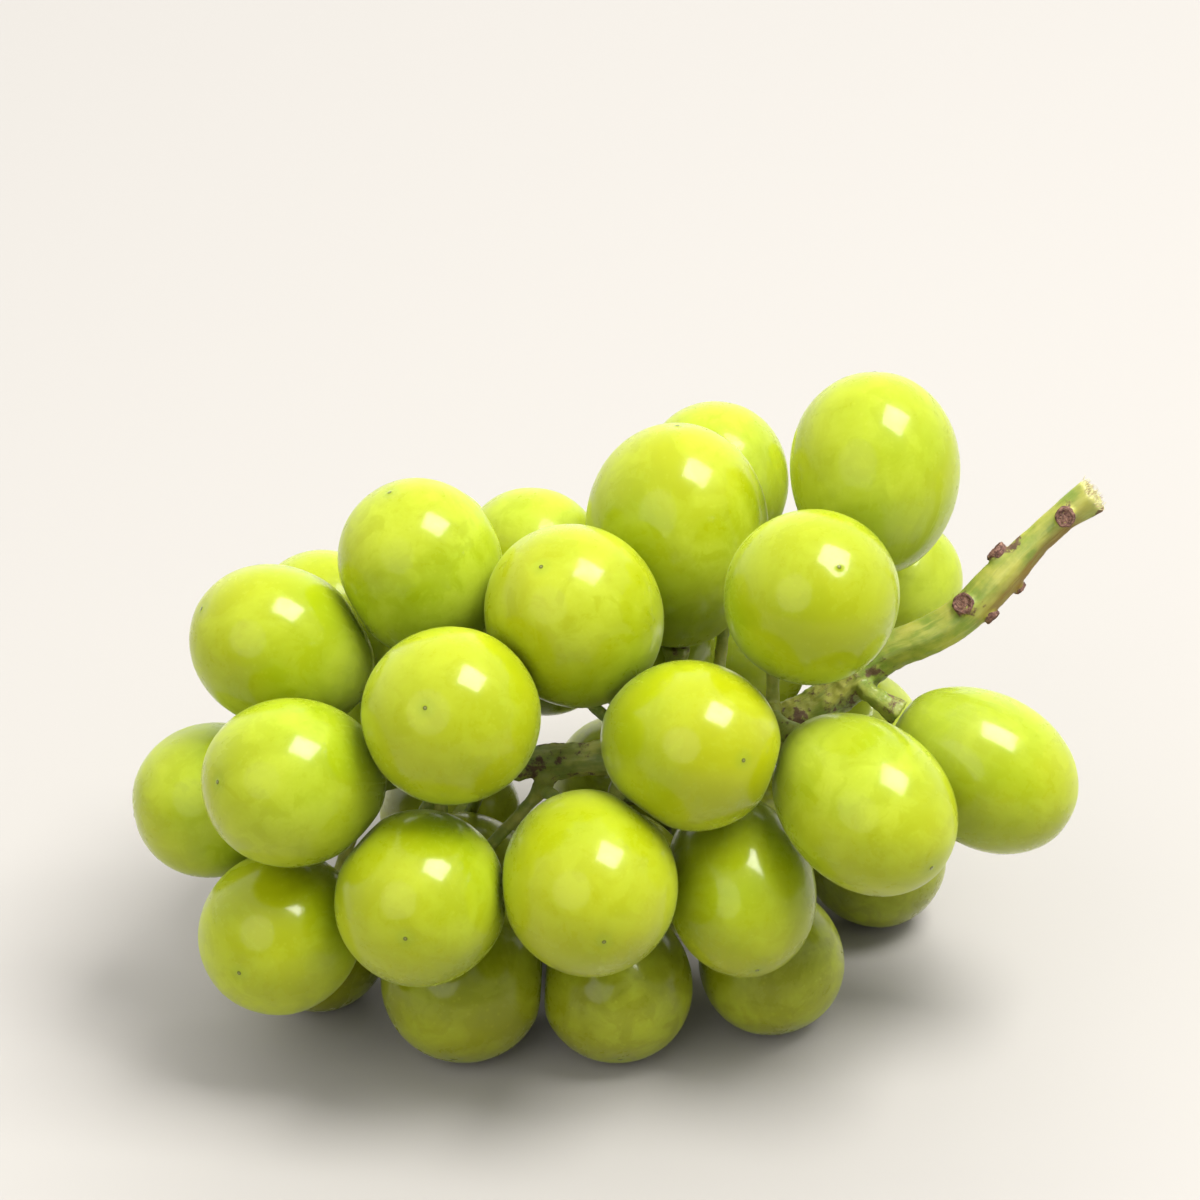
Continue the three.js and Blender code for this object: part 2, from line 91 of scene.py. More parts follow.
# Share of the stalk's length, the side that the scar faces, and its width.
SCARS = [(0.39, [-0.28, -0.64, 0.7], 3.4 * MM), (0.42, [0.66, -0.5, -0.56], 2.6 * MM),
         (0.56, [0.66, -0.22, -0.72], 2.2 * MM), (0.6, [-0.62, 0.3, 0.72], 3.4 * MM),
         (0.88, [-0.05, -0.9, 0.43], 3.1 * MM)]
# Where the stalk's skin is rubbed brown: along its top beyond the third scar, and at its cut.
CORKY_PATCHES = [(0.66, [-0.6, -0.1, 0.74], 2.6 * MM), (0.99, [0.6, -0.5, -0.6], 2.4 * MM)]


# ---- Node trees ----

class Tree:
    """A node tree written as a chain of named nodes."""

    def __init__(self, tree):
        self.tree = tree
        self.nodes = tree.nodes
        self.links = tree.links

    def node(self, kind, settings=None, **inputs):
        made = self.nodes.new(kind)
        for key, value in (settings or {}).items():
            setattr(made, key, value)
        for key, value in inputs.items():
            index = int(key[1:]) if key[0] == "i" and key[1:].isdigit() else None
            socket = made.inputs[index if index is not None else key.replace("_", " ")]
            self.put(socket, value)
        return made

    def put(self, socket, value):
        if isinstance(value, bpy.types.NodeSocket):
            self.links.new(value, socket)
        elif isinstance(value, bpy.types.Node):
            self.links.new(value.outputs[0], socket)
        else:
            socket.default_value = value

    def math(self, operation, *values, clamp=False):
        made = self.nodes.new("ShaderNodeMath")
        made.operation = operation
        made.use_clamp = clamp
        for socket, value in zip(made.inputs, values):
            self.put(socket, value)
        return made.outputs[0]

    def vector_math(self, operation, *values):
        made = self.nodes.new("ShaderNodeVectorMath")
        made.operation = operation
        for socket, value in zip(made.inputs, values):
            self.put(socket, value)
        return made.outputs["Value" if operation in ("LENGTH", "DOT_PRODUCT") else "Vector"]

    def scale_vector(self, vector, factor):
        made = self.nodes.new("ShaderNodeVectorMath")
        made.operation = "SCALE"
        self.put(made.inputs[0], vector)
        self.put(made.inputs["Scale"], factor)
        return made.outputs["Vector"]

    def combine(self, x, y, z):
        made = self.nodes.new("ShaderNodeCombineXYZ")
        for socket, value in zip(made.inputs, (x, y, z)):
            self.put(socket, value)
        return made.outputs[0]

    def smooth(self, value, low, high, out_low=0.0, out_high=1.0):
        made = self.nodes.new("ShaderNodeMapRange")
        made.interpolation_type = "SMOOTHSTEP"
        for socket, item in zip(made.inputs, (value, low, high, out_low, out_high)):
            self.put(socket, item)
        return made.outputs[0]

    def linear(self, value, low, high, out_low=0.0, out_high=1.0):
        made = self.nodes.new("ShaderNodeMapRange")
        for socket, item in zip(made.inputs, (value, low, high, out_low, out_high)):
            self.put(socket, item)
        return made.outputs[0]

    def mix_colour(self, factor, one, other, blend="MIX"):
        made = self.nodes.new("ShaderNodeMix")
        made.data_type = "RGBA"
        made.blend_type = blend
        self.put(made.inputs["Factor"], factor)
        self.put(made.inputs[6], one)
        self.put(made.inputs[7], other)
        return made.outputs[2]


def shape_tree(name, inputs):
    """A Geometry Nodes group whose named inputs are given as {name: (type, value)}."""
    group = bpy.data.node_groups.new(name, "GeometryNodeTree")
    group.interface.new_socket("Geometry", in_out="OUTPUT", socket_type="NodeSocketGeometry")
    for label, (kind, value) in inputs.items():
        socket = group.interface.new_socket(label, in_out="INPUT", socket_type=kind)
        if value is not None:
            socket.default_value = value
    tree = Tree(group)
    given = tree.node("NodeGroupInput")
    return tree, given


def grow(tree, values, name):
    """Runs a Geometry Nodes group with the given input values and returns its plain mesh."""
    seed_mesh = bpy.data.meshes.new(name + "_start")
    maker = bpy.data.objects.new(name + "_maker", seed_mesh)
    bpy.context.scene.collection.objects.link(maker)
    modifier = maker.modifiers.new("grow", "NODES")
    modifier.node_group = tree.tree
    for item in tree.tree.interface.items_tree:
        if item.item_type == "SOCKET" and item.in_out == "INPUT" and item.name in values:
            modifier[item.identifier] = values[item.name]
    bpy.context.view_layer.update()
    graph = bpy.context.evaluated_depsgraph_get()
    mesh = bpy.data.meshes.new_from_object(maker.evaluated_get(graph), depsgraph=graph)
    maker.modifiers.remove(modifier)
    bpy.data.objects.remove(maker)
    mesh.name = name
    return mesh


def finish_group(tree, geometry, material):
    realize = tree.node("GeometryNodeRealizeInstances", i0=geometry)
    painted = tree.node("GeometryNodeSetMaterial", Geometry=realize, Material=material)
    out = tree.node("NodeGroupOutput")
    tree.links.new(painted.outputs[0], out.inputs[0])


# ---- Finishes ----

def new_material(name):
    material = bpy.data.materials.new(name)
    material.use_nodes = True
    tree = Tree(material.node_tree)
    shader = tree.nodes["Principled BSDF"]
    return material, tree, shader


def grape_skin():
    """Tight, glossy, yellow green skin over a translucent pulp, with a thin waxy bloom."""
    material, tree, shader = new_material("grape_skin")
    place = tree.node("ShaderNodeTexCoord").outputs["Object"]
    along, tone, low_shade, waxy, tip_reach, held = [
        tree.node("ShaderNodeAttribute", {"attribute_name": name}).outputs["Fac"]
        for name in ("along", "tone", "low_shade", "waxy", "tip_reach", "held")]

    meridian = tree.node("ShaderNodeAttribute", {"attribute_name": "meridian"}).outputs["Vector"]

    def grain_noise(scale, detail=3.0, rough=0.55, where=place, distortion=0.0):
        return tree.node("ShaderNodeTexNoise", None, Vector=where, Scale=scale, Detail=detail,
                         Roughness=rough, Distortion=distortion).outputs["Fac"]

    ripe = (0.328, 0.362, 0.002, 1)
    green = (0.236, 0.32, 0.003, 1)
    base_green = (0.31, 0.385, 0.045, 1)
    tip_yellow = (0.305, 0.318, 0.001, 1)
    # Painted shade: the dark olive that low berries are darkened to.
    painted_shade_olive = (0.14, 0.13, 0.001, 1)
    wax = (0.46, 0.54, 0.05, 1)
    pale_dot = (0.44, 0.47, 0.04, 1)
    tip_green = (0.22, 0.30, 0.02, 1)
    scar_dark = (0.045, 0.05, 0.008, 1)
    scar_pale = (0.30, 0.30, 0.10, 1)

    # The pulp is yellow green, paler at the base, yellower at the tip; low berries are painted
    # darker olive as shade.
    mottle = tree.smooth(grain_noise(50.0, 2.0), 0.35, 0.65)
    share = tree.math("ADD", tree.linear(tone, 0.0, 1.0, 0.12, 0.48),
                      tree.math("MULTIPLY", mottle, 0.4))
    colour = tree.mix_colour(share, ripe, green)
    baseward = tree.smooth(along, 0.62, 0.12, 0.0, 0.5)
    colour = tree.mix_colour(baseward, colour, base_green)
    tipward = tree.smooth(along, 0.55, 1.0, 0.0, 0.5)
    colour = tree.mix_colour(tipward, colour, tip_yellow)
    # Painted shade: berries low in the bunch are darkened to olive.
    colour = tree.mix_colour(tree.math("MULTIPLY", low_shade, 0.6), colour, painted_shade_olive)

    # The bloom lies in soft clouds, and handling has rubbed it off in places.
    clouds = tree.smooth(grain_noise(70.0, 4.0, 0.6, distortion=0.5), 0.36, 0.66)
    rubbed = tree.smooth(grain_noise(230.0, 4.0, 0.62, distortion=0.8), 0.46, 0.6)
    fine = grain_noise(1100.0, 3.0, 0.7)
    cover = tree.math("MULTIPLY", tree.linear(rubbed, 0.0, 1.0, 1.0, 0.42), clouds)
    cover = tree.math("MULTIPLY", cover, tree.linear(waxy, 0.0, 1.0, 0.45, 1.0))
    cover = tree.math("MULTIPLY", cover, tree.linear(held, 0.4, 1.0, 1.0, 0.5))
    # Water has drawn it into faint runs from the base.
    runs = tree.smooth(grain_noise(5.0, 3.0, 0.55, where=meridian, distortion=0.9), 0.48, 0.72)
    runs = tree.math("MULTIPLY", runs, tree.smooth(along, 0.75, 0.3))
    cover = tree.math("ADD", cover, tree.math("MULTIPLY", runs, 0.32), clamp=True)
    bloom = tree.math("MULTIPLY", cover, tree.linear(fine, 0.3, 0.7, 0.7, 1.0))
    colour = tree.mix_colour(tree.math("MULTIPLY", bloom, 0.5), colour, wax)

    # Faint pale dots under the skin.
    dots = tree.node("ShaderNodeTexVoronoi", {"feature": "F1"}, Vector=place, Scale=620.0,
                     Randomness=1.0)
    speck = tree.smooth(dots.outputs["Distance"], 0.24, 0.06)
    colour = tree.mix_colour(tree.math("MULTIPLY", speck, 0.2), colour, pale_dot)

    # The stylar scar: a tiny dark ring round a pale point, at the greener tip.
    halo = tree.smooth(tip_reach, 2.2 * MM, 0.6 * MM, 0.0, 0.3)
    colour = tree.mix_colour(halo, colour, tip_green)
    ring = tree.smooth(tip_reach, 0.46 * MM, 0.26 * MM, 0.0, 0.9)
    colour = tree.mix_colour(ring, colour, scar_dark)
    core = tree.smooth(tip_reach, 0.18 * MM, 0.08 * MM, 0.0, 0.7)
    colour = tree.mix_colour(core, colour, scar_pale)

    tree.put(shader.inputs["Base Color"], colour)
    rough = tree.math("ADD", tree.linear(cover, 0.0, 1.0, 0.24, 0.46),
                      tree.math("MULTIPLY", tree.math("SUBTRACT", fine, 0.5), 0.08))
    tree.put(shader.inputs["Roughness"], rough)
    pulp_shows = tree.math("MULTIPLY", tree.linear(cover, 0.0, 1.0, 0.75, 0.45),
                           tree.math("SUBTRACT", 1.0, ring))
    tree.put(shader.inputs["Subsurface Weight"], pulp_shows)
    shader.inputs["Subsurface Radius"].default_value = (1.0, 1.0, 0.15)
    shader.inputs["Subsurface Scale"].default_value = 5 * MM
    shader.inputs["IOR"].default_value = 1.42
    shader.inputs["Specular IOR Level"].default_value = 0.22
    shader.inputs["Specular Tint"].default_value = (1.0, 1.0, 0.6, 1)
    tree.put(shader.inputs["Coat Weight"], tree.linear(cover, 0.0, 1.0, 0.48, 0.16))
    shader.inputs["Coat Roughness"].default_value = 0.11
    shader.inputs["Coat IOR"].default_value = 1.45
    shader.inputs["Sheen Weight"].default_value = 0.1
    shader.inputs["Sheen Roughness"].default_value = 0.35
    shader.inputs["Sheen Tint"].default_value = (0.75, 0.9, 0.4, 1)

    height = tree.math("ADD", tree.math("MULTIPLY", grain_noise(240.0, 3.0), 0.8),
                       tree.math("MULTIPLY", fine, 0.10))
    bump = tree.node("ShaderNodeBump", None, Strength=0.14, Distance=0.3 * MM, Height=height)
    tree.put(shader.inputs["Normal"], bump)
    return material


def green_stem():
    """Fleshy light green stem, grained along its axis, brown and corky at its nodes and knobs."""
    material, tree, shader = new_material("green_stem")
    place = tree.node("ShaderNodeTexCoord").outputs["Object"]
    grain = tree.node("ShaderNodeAttribute", {"attribute_name": "grain"}).outputs["Vector"]
    cork, underside_ochre, pale, knob = [
        tree.node("ShaderNodeAttribute", {"attribute_name": name}).outputs["Fac"]
        for name in ("cork", "underside_ochre", "pale", "knob")]

    def grain_noise(where, scale, detail=4.0, rough=0.6):
        return tree.node("ShaderNodeTexNoise", None, Vector=where, Scale=scale, Detail=detail,
                         Roughness=rough).outputs["Fac"]

    streaks = grain_noise(grain, 1100.0, 4.0)
    colour = tree.mix_colour(tree.smooth(grain_noise(place, 150.0), 0.35, 0.65),
                             (0.18, 0.25, 0.03, 1), (0.37, 0.36, 0.06, 1))
    colour = tree.mix_colour(tree.smooth(streaks, 0.48, 0.72, 0.0, 0.55), colour,
                             (0.44, 0.42, 0.10, 1))
    colour = tree.mix_colour(tree.smooth(grain_noise(grain, 700.0), 0.56, 0.66, 0.0, 0.5), colour,
                             (0.17, 0.22, 0.03, 1))
    colour = tree.mix_colour(tree.math("MULTIPLY", knob, 0.55), colour, (0.15, 0.21, 0.03, 1))
    # Darker ochre painted along the stalk's downward-facing side.
    ochre = tree.math("MULTIPLY", underside_ochre, tree.linear(streaks, 0.3, 0.7, 0.55, 1.3), clamp=True)
    colour = tree.mix_colour(ochre, colour, (0.20, 0.122, 0.003, 1))
    colour = tree.mix_colour(tree.math("MULTIPLY", pale, 0.7), colour, (0.44, 0.42, 0.17, 1))
    patchy = tree.math("ADD", cork, tree.linear(grain_noise(place, 420.0, 5.0, 0.68), 0.3, 0.7,
                                                -0.5, 0.35))
    brown = tree.mix_colour(grain_noise(place, 900.0), (0.05, 0.028, 0.018, 1),
                            (0.19, 0.11, 0.05, 1))
    bark = tree.smooth(patchy, 0.3, 0.55)
    colour = tree.mix_colour(bark, colour, brown)
    tree.put(shader.inputs["Base Color"], colour)
    tree.put(shader.inputs["Roughness"], tree.linear(bark, 0.0, 1.0, 0.42, 0.8))
    shader.inputs["Subsurface Weight"].default_value = 0.2
    shader.inputs["Subsurface Radius"].default_value = (1.0, 1.0, 0.3)
    shader.inputs["Subsurface Scale"].default_value = 0.8 * MM
    height = tree.math("ADD", grain_noise(grain, 2600.0, 3.0),
                       tree.math("MULTIPLY", grain_noise(place, 2200.0, 3.0), bark))
    bump = tree.node("ShaderNodeBump", None, Strength=0.5, Distance=0.2 * MM, Height=height)
    tree.put(shader.inputs["Normal"], bump)
    return material


def corky_scar():
    """Dry purple brown cork, cracked, with its raised rim painted paler as a highlight."""
    material, tree, shader = new_material("corky_scar")
    place = tree.node("ShaderNodeTexCoord").outputs["Object"]
    rim = tree.node("ShaderNodeAttribute", {"attribute_name": "rim"}).outputs["Fac"]
    coarse = tree.node("ShaderNodeTexNoise", None, Vector=place, Scale=1300.0, Detail=5.0,
                       Roughness=0.7).outputs["Fac"]
    cracks = tree.node("ShaderNodeTexVoronoi", {"feature": "DISTANCE_TO_EDGE"}, Vector=place,
                       Scale=1500.0).outputs["Distance"]
    colour = tree.mix_colour(tree.smooth(coarse, 0.35, 0.65), (0.085, 0.032, 0.022, 1),
                             (0.21, 0.095, 0.065, 1))
    # Painted highlight: the raised rim is painted a paler pink brown in broken patches.
    colour = tree.mix_colour(tree.math("MULTIPLY", rim, tree.smooth(coarse, 0.45, 0.6)), colour,
                             (0.33, 0.20, 0.13, 1))
    colour = tree.mix_colour(tree.smooth(cracks, 0.07, 0.0, 0.0, 0.7), colour,
                             (0.02, 0.011, 0.009, 1))
    tree.put(shader.inputs["Base Color"], colour)
    shader.inputs["Roughness"].default_value = 0.78
    height = tree.math("ADD", coarse, tree.smooth(cracks, 0.0, 0.1))
    bump = tree.node("ShaderNodeBump", None, Strength=0.6, Distance=0.15 * MM, Height=height)
    tree.put(shader.inputs["Normal"], bump)
    return material


def dry_fibre():
    """Pale straw fibres, browner at some of their ends."""
    material, tree, shader = new_material("dry_fibre")
    place = tree.node("ShaderNodeTexCoord").outputs["Object"]
    patch = tree.node("ShaderNodeTexNoise", None, Vector=place, Scale=700.0,
                      Detail=3.0).outputs["Fac"]
    colour = tree.mix_colour(tree.smooth(patch, 0.4, 0.65), (0.62, 0.60, 0.34, 1),
                             (0.36, 0.25, 0.12, 1))
    tree.put(shader.inputs["Base Color"], colour)
    shader.inputs["Roughness"].default_value = 0.7
    return material


# ---- Berries ----

def merged_points(name):
    """A CAD node's corners without doubles, how many edges meet at each, and its neighbours."""
    work = bmesh.new()
    work.from_mesh(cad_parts[name].data)
    bmesh.ops.remove_doubles(work, verts=work.verts, dist=SAME_POINT)
    points = np.array([vert.co for vert in work.verts])
    edges = np.array([len(vert.link_edges) for vert in work.verts])
    near = [[edge.other_vert(vert).index for edge in vert.link_edges] for vert in work.verts]
    work.free()
    return points, edges, near


def radius_share(along):
    """A berry's radius at a place from -1 (base) to 1 (tip), as a share of half its width."""
    return np.sqrt(np.clip(1 - along**2, 0, None)) * (1 + FULLNESS * (along - 0.3))


def measure_berry(name):
    """Reads a berry's centre, axis, length and width from its CAD solid, pressed flats apart."""
    points, edges, near = merged_points(name)
    poles = np.argsort(-edges)[:2]
    ring = [np.mean(np.linalg.norm(points[near[pole]] - points[pole], axis=1)) for pole in poles]
    base, tip = (poles[0], poles[1]) if ring[0] < ring[1] else (poles[1], poles[0])
    axis = points[tip] - points[base]
    axis /= np.linalg.norm(axis)
    centre = (points[tip] + points[base]) / 2
    half_length = np.linalg.norm(points[tip] - points[base]) / 2 * 1.01
    half_width = FIT_HALF_WIDTH
    skin = np.ones(len(points), bool)
    skin[base] = False

    def miss(state):
        heading = state[3:6] / np.linalg.norm(state[3:6])
        from_centre = points - state[:3]
        run = from_centre @ heading
        along = np.clip(run / state[6], -1, 1)
        beyond = np.maximum(np.abs(run / state[6]) - 1, 0) * state[6]
        radial = np.linalg.norm(from_centre - np.outer(run, heading), axis=1)
        return radial - radius_share(along) * state[7] + beyond

    state = np.concatenate([centre, axis, [half_length, half_width]])
    for _ in range(FIT_ROUNDS):
        off = miss(state)
        weight = np.where(skin, 1 / (1 + (off / FIT_TRUST) ** 2), 0)
        slopes = np.empty((len(points), 8))
        for k in range(8):
            step = np.zeros(8)
            step[k] = 1e-6 if k < 3 or k > 5 else 1e-5
            slopes[:, k] = (miss(state + step) - miss(state - step)) / (2 * step[k])
        normal = slopes.T @ (slopes * weight[:, None])
        normal += np.diag(np.diag(normal)) * 1e-3 + np.eye(8) * 1e-12
        state = state - np.linalg.solve(normal, slopes.T @ (off * weight))
        state[3:6] /= np.linalg.norm(state[3:6])
    return {
        "name": name,
        "centre": state[:3],
        "axis": state[3:6],
        "half_length": state[6],
        "half_width": state[7],
        "lowest": points[:, 2].min(),
    }


def reach(berry, direction):
    along = berry["axis"] @ direction
    return math.sqrt((along * berry["half_length"]) ** 2
                     + (1 - along**2) * berry["half_width"] ** 2)


def pressed_planes(berry, berries):
    """The flats where neighbours press on a berry: (direction, how far from its centre)."""
    planes = []
    for other in berries:
        if other is berry:
            continue
        direction = other["centre"] - berry["centre"]
        distance = np.linalg.norm(direction)
        direction = direction / distance
        mine = reach(berry, direction) * (1 + FULLNESS)
        theirs = reach(other, direction) * (1 + FULLNESS)
        overlap = mine + theirs + TOUCH_GAP - distance
        if overlap > -PRESS_REACH:
            planes.append((direction, mine - overlap / 2))
    return planes


def press(points, direction, limit, softness):
    """Pushes points back behind a plane, rolling over gently, and says how hard each is held."""
    past = points @ direction - limit
    soft = softness * np.log1p(np.exp(np.clip(past / softness, -30, 30)))
    return points - np.outer(soft, direction), np.clip(1 + past / HELD_BAND, 0, 1)


def berry_tree(skin):
    """A berry standing on its base: a body of revolution with a sunken base, a dimple and scar."""
    tree, given = shape_tree("grape_berry", {
        "Length": ("NodeSocketFloat", 32 * MM),
        "Width": ("NodeSocketFloat", 28.5 * MM),
        "Fullness": ("NodeSocketFloat", FULLNESS),
        "Base Hollow": ("NodeSocketFloat", 0.5 * MM),
        "Base Hollow Width": ("NodeSocketFloat", 3.4 * MM),
        "Tip Dimple": ("NodeSocketFloat", 0.16 * MM),
        "Tip Dimple Width": ("NodeSocketFloat", 2.2 * MM),
        "Scar Height": ("NodeSocketFloat", 0.16 * MM),
        "Scar Width": ("NodeSocketFloat", 0.45 * MM),
        "Unevenness": ("NodeSocketFloat", 0.5 * MM),
        "Seed": ("NodeSocketFloat", 0.0),
        "Sides": ("NodeSocketInt", BERRY_SIDES),
        "Rings": ("NodeSocketInt", BERRY_RINGS),
    })
    value = given.outputs
    ball = tree.node("GeometryNodeMeshUVSphere", None, Segments=value["Sides"],
                     Rings=value["Rings"], Radius=1.0)
    place = tree.node("GeometryNodeInputPosition")
    split = tree.node("ShaderNodeSeparateXYZ", i0=place)
    up = tree.math("MAXIMUM", tree.math("MINIMUM", split.outputs[2], 1.0), -1.0)
    even_angle = tree.math("SUBTRACT", math.pi, tree.math("ARCCOSINE", up))
    # The rings crowd towards the base and the tip, where the detail is.
    crowd = tree.math("MULTIPLY", tree.math("SINE", tree.math("MULTIPLY", even_angle, 2.0)),
                      RING_CROWDING)
    angle = tree.math("SUBTRACT", even_angle, crowd)
    along = tree.math("MULTIPLY", tree.math("COSINE", angle), -1.0)
    fullness = tree.math("ADD", 1.0, tree.math("MULTIPLY", value["Fullness"],
                                               tree.math("SUBTRACT", along, 0.3)))
    half_width = tree.math("MULTIPLY", value["Width"], 0.5)
    half_length = tree.math("MULTIPLY", value["Length"], 0.5)
    radius = tree.math("MULTIPLY", tree.math("MULTIPLY", tree.math("SINE", angle), fullness),
                       half_width)
    flat = tree.combine(split.outputs[0], split.outputs[1], 0.0)
    outward = tree.vector_math("NORMALIZE", flat)

    def hump(distance, width, height):
        ratio = tree.math("DIVIDE", distance, width)
        fall = tree.math("MULTIPLY", tree.math("MULTIPLY", ratio, ratio), -1.0)
        return tree.math("MULTIPLY", height, tree.math("EXPONENT", fall))

    tip_side = tree.math("GREATER_THAN", along, 0.0)
    base_side = tree.math("SUBTRACT", 1.0, tip_side)
    dimple = tree.math("MULTIPLY", tip_side, tree.math(
        "SUBTRACT", hump(radius, value["Scar Width"], value["Scar Height"]),
        hump(radius, value["Tip Dimple Width"], value["Tip Dimple"])))
    hollow = tree.math("MULTIPLY", base_side,
                       hump(radius, value["Base Hollow Width"], value["Base Hollow"]))
    height = tree.math("ADD", tree.math("MULTIPLY", along, half_length),
                       tree.math("ADD", dimple, hollow))
    ring = tree.scale_vector(outward, radius)
    body = tree.vector_math("ADD", ring, tree.combine(0.0, 0.0, height))

    lumps = tree.node("ShaderNodeTexNoise", {"noise_dimensions": "4D"}, Vector=place,
                      W=value["Seed"], Scale=0.75, Detail=1.0)
    swing = tree.math("MULTIPLY", tree.math("SUBTRACT", lumps.outputs["Fac"], 0.5),
                      tree.math("MULTIPLY", value["Unevenness"], 2.0))
    swell = tree.math("MULTIPLY", swing, tree.math("SINE", angle))
    body = tree.vector_math("ADD", body, tree.scale_vector(place, swell))

    def keep(geometry, name, item, kind="FLOAT", domain="POINT"):
        stored = tree.node("GeometryNodeStoreNamedAttribute",
                           {"data_type": kind, "domain": domain}, Geometry=geometry, Name=name)
        tree.put(stored.inputs["Value"], item)
        return stored

    share = tree.math("MULTIPLY", tree.math("ADD", along, 1.0), 0.5)
    shaped = keep(ball, "along", share)
    # The base half counts as far away from the tip.
    reach_from_tip = tree.math("ADD", radius, base_side)
    shaped = keep(shaped, "tip_reach", reach_from_tip)
    line = tree.vector_math("ADD", outward, tree.combine(
        0.0, 0.0, tree.math("ADD", tree.math("MULTIPLY", along, 0.3), value["Seed"])))
    shaped = keep(shaped, "meridian", line, kind="FLOAT_VECTOR")
    # The ball takes its shape last, because all that is kept on it is worked out on the ball.
    shaped = tree.node("GeometryNodeSetPosition", None, Geometry=shaped, Position=body)
    shaped = tree.node("GeometryNodeSetShadeSmooth", None, Geometry=shaped)
    finish_group(tree, shaped.outputs[0], skin)
    return tree


def mesh_points(mesh):
    points = np.empty(len(mesh.vertices) * 3)
    mesh.vertices.foreach_get("co", points)
    return points.reshape(-1, 3)


def set_points(mesh, points):
    mesh.vertices.foreach_set("co", points.ravel())
    mesh.update()


def keep_number(mesh, name, values):
    layer = mesh.attributes.get(name) or mesh.attributes.new(name, "FLOAT", "POINT")
    layer.data.foreach_set("value", np.ascontiguousarray(values, dtype=np.float32))


def add_piece(name, mesh, replaces=()):
    piece = bpy.data.objects.new(name, mesh)
    bpy.context.scene.collection.objects.link(piece)
    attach(piece, "root")
    if replaces:
        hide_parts(*replaces)
    return piece


def build_berries(skin):
    berries = [measure_berry(name) for name in BERRIES]
    tree = berry_tree(skin)
    chance = np.random.default_rng(CHANCE_SEED)
    for index, berry in enumerate(berries):
        mesh = grow(tree, {
            "Length": 2 * berry["half_length"],
            "Width": 2 * berry["half_width"],
            "Seed": 3.7 * index,
        }, berry["name"].replace("berry", "grape"))
        turn = Vector((0, 0, 1)).rotation_difference(Vector(berry["axis"])).to_matrix()
        spin = Matrix.Rotation(chance.uniform(0, 2 * math.pi), 3, "Z")
        points = mesh_points(mesh) @ np.array(turn @ spin).T
        held = np.zeros(len(points))
        for _ in range(2):
            for direction, limit in pressed_planes(berry, berries):
                points, hold = press(points, direction, limit, PRESS_SOFTNESS)
                held = np.maximum(held, hold)
        points += berry["centre"]
        if berry["lowest"] < RESTING_BELOW:
            points, hold = press(points, np.array([0.0, 0.0, -1.0]), 0.0, REST_SOFTNESS)
            held = np.maximum(held, hold)
        set_points(mesh, points)
        keep_number(mesh, "held", held)
        keep_number(mesh, "tone", np.full(len(points), chance.uniform(0, 1)))
        waxy = WAXY.get(berry["name"], chance.uniform(0.1, 0.9))
        keep_number(mesh, "waxy", np.full(len(points), waxy))
        # Painted shade: how far the berry's middle lies below the height where low berries start
        # to darken.
        low = np.clip((LOW_SHADE_FROM - berry["centre"][2]) / LOW_SHADE_OVER, 0, 1)
        keep_number(mesh, "low_shade", np.full(len(points), low))
        add_piece(mesh.name, mesh, [berry["name"]])
        berry["mesh"] = mesh
    return berries


# ---- Stem ----

AXIS_CORE = 3.6 * MM  # what is closer to the middle line than this is the rachis or the stalk
AXIS_FADE = 1.2 * MM
NODE_SPREAD = 6 * MM  # how far the knobbly skin reaches round a lateral's root
KNOB_SPREAD = 3.6 * MM  # and round a berry's base
CUT_SPREAD = 0.9 * MM  # and back from the cut
RIB_HEIGHT = 0.11 * MM
RIB_WANDER = 14 * MM
COARSE_LUMP = 3.2 * MM
FINE_LUMP = 1.1 * MM
SCAR_COVER = 1.06  # a scar's width over that of the part's scar that it covers
SCAR_SINK = 0.25 * MM


def smooth_points(points, edges, rounds, ease=0.5, back=-0.53):
    """Irons out facets without shrinking thin branches."""
    count = np.bincount(edges.ravel(), minlength=len(points))[:, None]
    for turn in range(2 * rounds):
        pull = np.zeros_like(points)
        for a, b in ((0, 1), (1, 0)):
            for k in range(3):
                pull[:, k] += np.bincount(edges[:, a], points[edges[:, b], k], len(points))
        points = points + (pull / count - points) * (ease if turn % 2 == 0 else back)
    return points


def smooth_run(knots, steps=30):
    """Points along the centripetal curve that the part's bars follow, and the run up to each."""
    knots = [np.asarray(knot, float) for knot in knots]
    ends = [2 * knots[0] - knots[1], *knots, 2 * knots[-1] - knots[-2]]
    points = [knots[0]]
    for k in range(len(knots) - 1):
        before, one, other, after = ends[k:k + 4]
        gaps = [math.sqrt(np.linalg.norm(b - a))
                for a, b in ((before, one), (one, other), (other, after))]
        leave = gaps[1] * ((one - before) / gaps[0] - (other - before) / (gaps[0] + gaps[1])
                           + (other - one) / gaps[1])
        arrive = gaps[1] * ((other - one) / gaps[1] - (after - one) / (gaps[1] + gaps[2])
                            + (after - other) / gaps[2])
        for step in range(1, steps + 1):
            t = step / steps
            points.append(one + leave * t + (3 * (other - one) - 2 * leave - arrive) * t**2
                          + (2 * (one - other) + leave + arrive) * t**3)
    points = np.array(points)
    runs = np.concatenate([[0], np.cumsum(np.linalg.norm(np.diff(points, axis=0), axis=1))])
    return points, runs


def at_run(points, runs, run):
    return np.array([np.interp(run, runs, points[:, k]) for k in range(3)])


